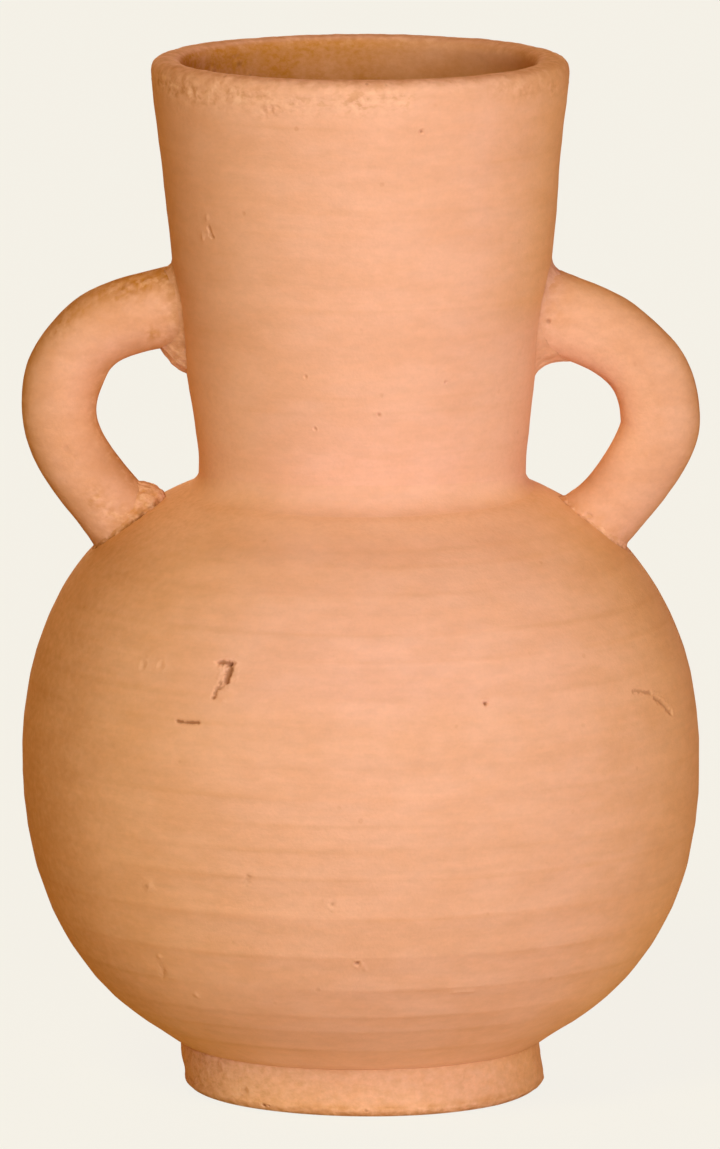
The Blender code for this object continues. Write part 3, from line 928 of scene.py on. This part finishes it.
def realWall(points, work, tuck):
    # points of the smooth wall, brought to the wall as it really stands
    out = wallOut(points, work)[0] - tuck
    outR, outZ = wallNormal(points[:, 2])
    moved = points + awayFromAxis(points) * (out * outR)[:, None]
    moved[:, 2] += out * outZ
    moved[:, 0] += leanAt(moved[:, 2])
    return moved


def ringOn(height, turn):
    radius = wallRadius(height)
    return np.stack([radius * np.cos(turn), radius * np.sin(turn), height + 0 * turn], axis=1)


def makeBand():
    s = bandShape
    turn = np.arange(s["turns"]) / s["turns"] * 2 * pi
    wide = s["front"] * np.abs(np.sin(turn)) ** 0.8
    down = bellyLine()[::-1][:200]  # down the shoulder from the joint
    lowHeight = np.interp(s["down"] + wide, runOf(down), down[:, 1])
    end = realWall(ringOn(lowHeight, turn), bellyWork, s["tuck"])
    start = realWall(ringOn(neckJoint + s["up"] + wide, turn), neckWork, s["tuck"])
    corner = ringOn(neckJoint + 0.0002, turn)
    corner[:, 0] += leanAt(corner[:, 2])
    sunk = corner * (1 - s["sunk"] / wallRadius(neckJoint))
    sunk[:, 2] = neckJoint - s["sunk"]
    mesh = fillet(start, corner, end, sunk, s["rows"])
    points = pointsOf(mesh)
    # painted shade: golden at the sides, less upwards; painted light on the paler sides
    upward = np.interp(points[:, 2], [neckJoint - 0.0015, neckJoint + 0.0015], [1.0, 0.45])
    flank = flanked(points)
    finished("neckBand", mesh, clayOf["band"], "luting_clay", "neck_band", worn=flanks["worn"] * flank,
             toast=toasted(points) * upward, blush=blushed(points, flank))


makeBand()


# handles: pulled coils, each bent by hand from the neck down to the shoulder. Their darkening along the outer
# and inner side is painted shade, and "inner" what it has more or less of in the eye
coil = {
    "seatRun": 0.0127, "embed": 0.004, "step": 0.0003, "around": 88, "along": 230,
    "endSwell": 0.0004, "endRun": 0.006, "swellAt": 0.58, "swellOver": 0.2, "flatter": 0.0002,
    "eye": (0.0085, 0.011),  # the middle of the eye, out from the neck and up from the joint
}
bends = {
    "left": {
        "side": -1, "seed": 20, "thickness": 0.0119, "taper": 0.0004, "swell": 0.0,
        "rootRise": 0.0271, "rootPull": 0.012, "rootDip": 0.0015,
        "stand": 0.0211, "standRise": 0.0115, "upperPull": 0.0103, "lowerPull": 0.0058,
        "seatAngle": radians(50), "seatPull": 0.0102,
        "dusk": 0.19, "topDusk": 0.65, "ridge": 0.62, "ridgeReach": 0.9, "grit": 0.24,
        "inner": 0.15, "innerDark": 0.32, "innerPale": 0.0, "lowFade": 0.0,
    },
    "right": {
        "side": 1, "seed": 30, "thickness": 0.0128, "taper": 0.0009, "swell": 0.0002,
        "rootRise": 0.0265, "rootPull": 0.0108, "rootDip": 0.0028,
        "stand": 0.0209, "standRise": 0.0093, "upperPull": 0.0105, "lowerPull": 0.0043,
        "seatAngle": radians(39), "seatPull": 0.0038,
        "dusk": 0.04, "topDusk": 0.05, "ridge": 0.48, "ridgeReach": 0.78, "grit": 0.12,
        "inner": -0.85, "innerDark": 0.0, "innerPale": 0.45, "lowFade": 0.5,
    },
}


def handleLine(bend):
    # the coil's middle line, from inside the neck to inside the shoulder
    rise = neckJoint + bend["rootRise"]
    root = np.array((profileRadius(rise), rise))
    seat = alongLine(bellyLine()[::-1], coil["seatRun"])
    widest = np.array((neckShape["baseRadius"] + bend["stand"], neckJoint + bend["standRise"]))
    upper = bezier(root, root + (bend["rootPull"], -bend["rootDip"]), widest + (0, bend["upperPull"]), widest)
    turn = bend["seatAngle"]
    lower = bezier(widest, widest - (0, bend["lowerPull"]),
                   seat + bend["seatPull"] * np.array((cos(turn), sin(turn))), seat)
    line = evenly(np.vstack([upper, lower[1:]]), coil["step"])
    first, last = (end + (end - after) / np.hypot(*(end - after)) * coil["embed"]
                   for end, after in ((line[0], line[1]), (line[-1], line[-2])))
    return evenly(np.vstack([first, line, last]), coil["step"])


def coilSurface(bend, line, turn, distance):
    # points of a handle's surface; turn 0 is its outer side, half a turn is inside the eye
    total = runOf(line)[-1]
    centre, tangent = alongLine(line, distance), alongLine(line, distance, slopeOf(line))
    share = held((distance - coil["embed"]) / (total - 2 * coil["embed"]))
    nearest = np.clip(np.minimum(distance, total - distance) - coil["embed"], 0, None)
    half = bend["thickness"] / 2 - bend["taper"] * share
    half = half + coil["endSwell"] * held(1 - nearest / coil["endRun"]) ** 2
    half = half + bend["swell"] * np.exp(-(((share - coil["swellAt"]) / coil["swellOver"]) ** 2))
    thick, deep = half * np.cos(turn), (half - coil["flatter"]) * np.sin(turn)
    x = centre[:, 0] - tangent[:, 1] * thick
    z = centre[:, 1] + tangent[:, 0] * thick
    outX, outZ = -tangent[:, 1] * np.cos(turn), tangent[:, 0] * np.cos(turn)
    side = bend["side"]
    points = np.stack([x * side, deep * side, z], axis=1)
    normals = np.stack([outX * side, np.sin(turn) * side, outZ], axis=1)
    return points, normals


handleMarks = {
    "left": [
        markAt([], 2.6, -0.6, at=[(-0.039, 0.0, 0.1096)], ragged=0.0),
        markAt([], 5.0, 0.4, at=[(-0.0476, 0.0, 0.1186)], ragged=0.0),
        markAt([(118, 290), (146, 281), (172, 275)], 2.0, 0.1, stain=0.55, grit=0.24),
        markAt([(56, 330), (88, 300), (125, 284)], 1.8, stain=0.3, grit=0.1),
        markAt([(150, 333), (166, 338), (182, 340)], 1.2, stain=0.5, grit=0.06),
        markAt([(96, 500), (110, 512), (124, 520)], 2.0, stain=0.35, grit=0.16),
        markAt([(66, 448), (69, 452)], 0.5, 0.14, dark=0.12),
        markAt([(75, 456)], 0.4, 0.12, dark=0.1),
    ],
    "right": [
        markAt([], 5.0, 0.4, at=[(0.0458, 0.0, 0.1186)], ragged=0.0),
        markAt([(549, 322)], 0.4, 0.3, dark=0.45),
        markAt([(588, 515), (590, 516)], 0.4, 0.25, dark=0.3),
        markAt([(648, 455)], 0.4, -0.1),
    ],
}


def handleOut(points, bend):
    # how far the pulled clay stands off the even coil; rougher where it was pressed on
    seed = bend["seed"]
    out = 0.00011 * rough(points, 0.012, seed + 1, 2) + 0.00003 * rough(points, 0.0022, seed + 2, 2)
    root = held(1 - clearOfWall(points) / 0.006)
    return out + root * 0.0001 * rough(points, 0.0012, seed + 3, 3)


def makeHandle(name):
    bend = bends[name]
    line = handleLine(bend)
    total = runOf(line)[-1]

    def place(around, along):
        return coilSurface(bend, line, around * 2 * pi, along * total)[0]

    mesh = rolled(coil["around"], coil["along"], place)
    rims = [edge for edge in mesh.edges if edge.is_boundary]
    bmesh.ops.holes_fill(mesh, edges=rims, sides=0)
    paths = marksOf(handleMarks[name], mesh)
    refined(mesh, paths, cuts=3)
    normals, points = normalsOf(mesh), pointsOf(mesh)
    z = points[:, 2]
    depth, dark, stain, grit = carve(points, paths, 500)
    root = held(1 - clearOfWall(points) / 0.005)
    stain = np.maximum(stain, 0.4 * root * held(0.5 + rough(points, 0.0018, 66, 3)))
    # painted shade: the handle made patchily darker, mostly the left one
    stain += bend["dusk"] * held(0.6 + 0.9 * rough(points, 0.006, 67, 4))
    # painted shade: darker on the upward-facing top, patchy
    stain += bend["topDusk"] * held(normals[:, 2]) ** 2 * held(0.6 + rough(points, 0.002, 69, 3))
    out, up = coil["eye"]
    eye = np.array((bend["side"] * (neckShape["baseRadius"] + out), 0, neckJoint + up)) - points
    eye[:, 1] = 0
    inner = held(1.4 * (normals * eye).sum(axis=1) / np.linalg.norm(eye, axis=1))
    low = held((0.1005 - z) / 0.005)
    less = (1 + bend["inner"] * inner) * (1 - bend["lowFade"] * low)
    # painted shade: the lower inner side of the left handle's eye made dark, as a mark
    dim = inner * held((0.1035 - z) / 0.006)
    dark = np.maximum(dark, bend["innerDark"] * dim)
    # painted shade: darker along the handle's outer and inner sides, which face the sides
    ridge = held(1 - np.abs(normals[:, 1]) / bend["ridgeReach"]) * less
    stain = np.maximum(stain, bend["ridge"] * ridge * held(0.8 + 0.6 * rough(points, 0.002, 68, 3)))
    grit = np.maximum(grit, bend["grit"] * np.maximum(root, ridge))
    points += normals * (handleOut(points, bend) - depth)[:, None]
    setPoints(mesh, kept(points))
    # painted shade: golden along the handle's outer and inner sides
    toast = 0.9 * held(1 - np.abs(normals[:, 1]) / 0.95) * less
    # painted light: the inner side of the right handle made paler and pinker
    pale = bend["innerPale"] * inner * (1 - low)
    finished(name + "Handle", mesh, clayOf["handle"], "handle_clay", name + "_handle", mark=dark,
             stain=stain, worn=pale, grit=grit, toast=toast, blush=1.3 * pale)


for name in bends:
    makeHandle(name)


# luting: soft clay pressed round each root, wiped onto the handle and onto the wall. "skin" is
# how far it is wiped at the front, "top" outside, "lump" and "down" in the eye, along the handle
# and along the wall; "bulge" is how fat the lump is and "crease" how dark its edges are
lutings = {
    "left_upper": dict(skin=0.0006, top=0.0013, lump=0.004, down=0.0042, bulge=0.0018, rough=0.6,
                       crease=0.6, handleCrease=1.0, seam=0.00035, narrow=7, speckle=0.05, grit=0.28,
                       pale=0.4),
    "left_lower": dict(skin=0.0009, top=0.0008, lump=0.004, down=0.0014, bulge=0.0013, rough=1.0,
                       crease=2.0, handleCrease=0.15, seam=0.0007, narrow=4, speckle=0.45, grit=0.35,
                       pale=0.0),
    "right_upper": dict(skin=0.0006, top=0.002, lump=0.0061, down=0.0036, bulge=0.0006, rough=0.35,
                        crease=0.4, handleCrease=1.6, seam=0.00035, narrow=7, speckle=0.05, grit=0.1,
                        pale=0.35),
    "right_lower": dict(skin=0.001, top=0.0009, lump=0.0012, down=0.0009, bulge=0.0, rough=1.1,
                        crease=1.2, handleCrease=0.4, seam=0.0005, narrow=4, speckle=0.25, grit=0.32,
                        pale=0.0),
}
pressed = {"columns": 180, "rows": 34, "reach": 0.022, "halvings": 26, "tuck": 0.00004, "sunk": 0.0014}


def smoothWall(points):
    # the nearest points of the smooth wall, before the lean
    x = points[:, 0] - leanAt(points[:, 2])
    scale = wallRadius(points[:, 2]) / np.hypot(x, points[:, 1])
    return np.stack([x * scale, points[:, 1] * scale, points[:, 2]], axis=1)


def unit(ways):
    return ways / np.linalg.norm(ways, axis=1)[:, None]


def makeLuting(key, seed):
    s = lutings[key]
    side, level = key.split("_")
    bend, upper = bends[side], level == "upper"
    line = handleLine(bend)
    total = runOf(line)[-1]
    columns, tuck = pressed["columns"], pressed["tuck"]
    turn = np.arange(columns) / columns * 2 * pi

    def onHandle(distance, tuck=None):
        points, normals = coilSurface(bend, line, turn, distance if upper else total - distance)
        if tuck is None:
            return points
        return points + normals * (handleOut(points, bend) - tuck)[:, None]

    # where each line along the handle meets the wall, by halving
    low, high = np.zeros(columns), np.full(columns, pressed["reach"])
    for _ in range(pressed["halvings"]):
        middle = (low + high) / 2
        outside = clearOfWall(onHandle(middle)) > 0
        high = np.where(outside, middle, high)
        low = np.where(outside, low, middle)
    eye = (1 - np.cos(turn)) / 2
    ring = np.stack([np.cos(turn), np.sin(turn)], 1)
    ragged = 1 + 0.25 * slowly(ring, 0.5, seed) + 0.18 * slowly(ring, 0.12, seed + 1)
    lump, outerSide = eye ** s["narrow"], (1 - eye) ** 4
    up, along = (
        (s["skin"] + (s[way] - s["skin"]) * lump + (s["top"] - s["skin"]) * outerSide) * ragged
        for way in ("lump", "down")
    )
    meet = onHandle(low)
    outR, outZ = wallNormal(meet[:, 2])
    wallOutward = awayFromAxis(meet) * outR[:, None]
    wallOutward[:, 2] = outZ
    away = meet - meet.mean(axis=0)
    away = unit(away - wallOutward * (away * wallOutward).sum(axis=1)[:, None])
    start = onHandle(low + up, tuck)
    end = realWall(smoothWall(meet + away * along[:, None]), neckWork if upper else bellyWork, tuck)
    pull = meet + unit(away + unit(start - meet)) * (s["bulge"] * lump * 2)[:, None]
    sunk = meet - wallOutward * pressed["sunk"] - away * pressed["sunk"]
    mesh = fillet(start, pull, end, sunk, pressed["rows"])
    normals, points = normalsOf(mesh), pointsOf(mesh)
    closed = [0, *range(columns - 1, -1, -1)]
    fromHandle = distanceTo(points, start[closed])
    fromWall = distanceTo(points, end[closed])
    inside = held(np.minimum(fromHandle, fromWall) / 0.0007)
    grain = 0.00026 * rough(points, 0.003, seed + 1, 3) + 0.00013 * rough(points, 0.0009, seed + 2, 3)
    points += normals * (inside * grain * s["rough"])[:, None]
    patchy = held(0.4 + 1.6 * rough(points, 0.0011, seed + 3, 3))
    wallSeam = np.exp(-((fromWall / s["seam"]) ** 2))
    handleSeam = s["handleCrease"] * np.exp(-((fromHandle / 0.0003) ** 2))
    dark = held(s["crease"] * 0.5 * np.maximum(wallSeam, handleSeam) * patchy)
    # painted shade carried over from the handle, with random speckles
    stain = bend["dusk"] * 0.6 + s["speckle"] * held(0.5 + rough(points, 0.0011, seed + 4, 3))
    setPoints(mesh, kept(points))
    beneath = held((neckJoint + bend["rootRise"] - bend["rootDip"] - 0.004 - points[:, 2]) / 0.002)
    name = side + level.capitalize() + "Luting"
    finished(name, mesh, clayOf["luting"], "luting_clay", key + "_luting_coil", mark=dark, stain=stain,
             worn=s["pale"] * beneath, grit=s["grit"])


for number, key in enumerate(lutings):
    makeLuting(key, 100 + 10 * number)


# stage: a pale floor that runs out of sight, soft frontal light and the floor's own glow
stage = {
    "cream": (0.905, 0.871, 0.799),  # what the camera sees behind the vase
    "glowColour": (0.955, 0.941, 0.879),
    "paper": (0.78, 0.7, 0.22),
    "floorRadius": 7.0,
    "glow": 0.9,  # how much of the floor is this glow to the camera; it lights nothing
    "ambient": (0.215, 0.025, 0.0),
    "sunWidth": radians(20),
}
lamps = {
    "frontLight": dict(azimuth=8, elevation=3, strength=1.66, colour=(0.63, 0.84, 1.0)),
    "keyLight": dict(azimuth=25, elevation=3, strength=1.8, colour=(1.0, 0.98, 0.9)),
    "topLight": dict(azimuth=-20, elevation=45, strength=0.9, colour=(1.0, 1.0, 0.34)),
    "backLight": dict(azimuth=176, elevation=6, strength=0.95, colour=(1.0, 0.85, 0.6)),
    "backFill": dict(azimuth=188, elevation=6, strength=0.8, colour=(1.0, 0.85, 0.6)),
    "rimLight": dict(azimuth=190, elevation=35, strength=0.4, colour=(1.0, 0.85, 0.6)),
}


def emptyTree(thing):
    thing.use_nodes = True
    thing.node_tree.nodes.clear()
    return thing.node_tree


def makeFloor():
    mesh = bmesh.new()
    bmesh.ops.create_circle(mesh, cap_ends=True, segments=96, radius=stage["floorRadius"])
    material = bpy.data.materials.new("floorPaper")
    tree = emptyTree(material)
    paper = addNode(tree, "BsdfDiffuse", {"Color": (*stage["paper"], 1)}).outputs[0]
    glow = addNode(tree, "Emission", {"Color": (*stage["glowColour"], 1)}).outputs[0]
    path = addNode(tree, "LightPath")
    seen = addNode(tree, "Math", {
        0: path.outputs["Is Camera Ray"], 1: path.outputs["Is Glossy Ray"],
    }, operation="MAXIMUM").outputs[0]
    share = addNode(tree, "Math", {0: seen, 1: stage["glow"]}, operation="MULTIPLY").outputs[0]
    mix = addNode(tree, "MixShader", {0: share, 1: paper, 2: glow}).outputs[0]
    addNode(tree, "OutputMaterial", {"Surface": mix})
    floor = meshed("floor", mesh, material)


def makeSun(name, look):
    data = bpy.data.lights.new(name, "SUN")
    data.energy, data.angle, data.color = look["strength"], stage["sunWidth"], look["colour"]
    turn, up = radians(look["azimuth"]), radians(look["elevation"])
    towards = Vector((sin(turn) * cos(up), -cos(turn) * cos(up), sin(up)))
    placed(name, data).rotation_euler = towards.to_track_quat("Z", "Y").to_euler()


def makeWorld():
    world = bpy.data.worlds.new("studio")
    bpy.context.scene.world = world
    tree = emptyTree(world)
    room, seen = (addNode(tree, "Background", {"Color": (*stage[key], 1)}).outputs[0]
                  for key in ("ambient", "cream"))
    path = addNode(tree, "LightPath").outputs["Is Camera Ray"]
    mix = addNode(tree, "MixShader", {0: path, 1: room, 2: seen}).outputs[0]
    addNode(tree, "OutputWorld", {"Surface": mix})


makeFloor()
for name, look in lamps.items():
    makeSun(name, look)
makeWorld()
bpy.context.scene.view_settings.view_transform = "Standard"
print("stage lit")
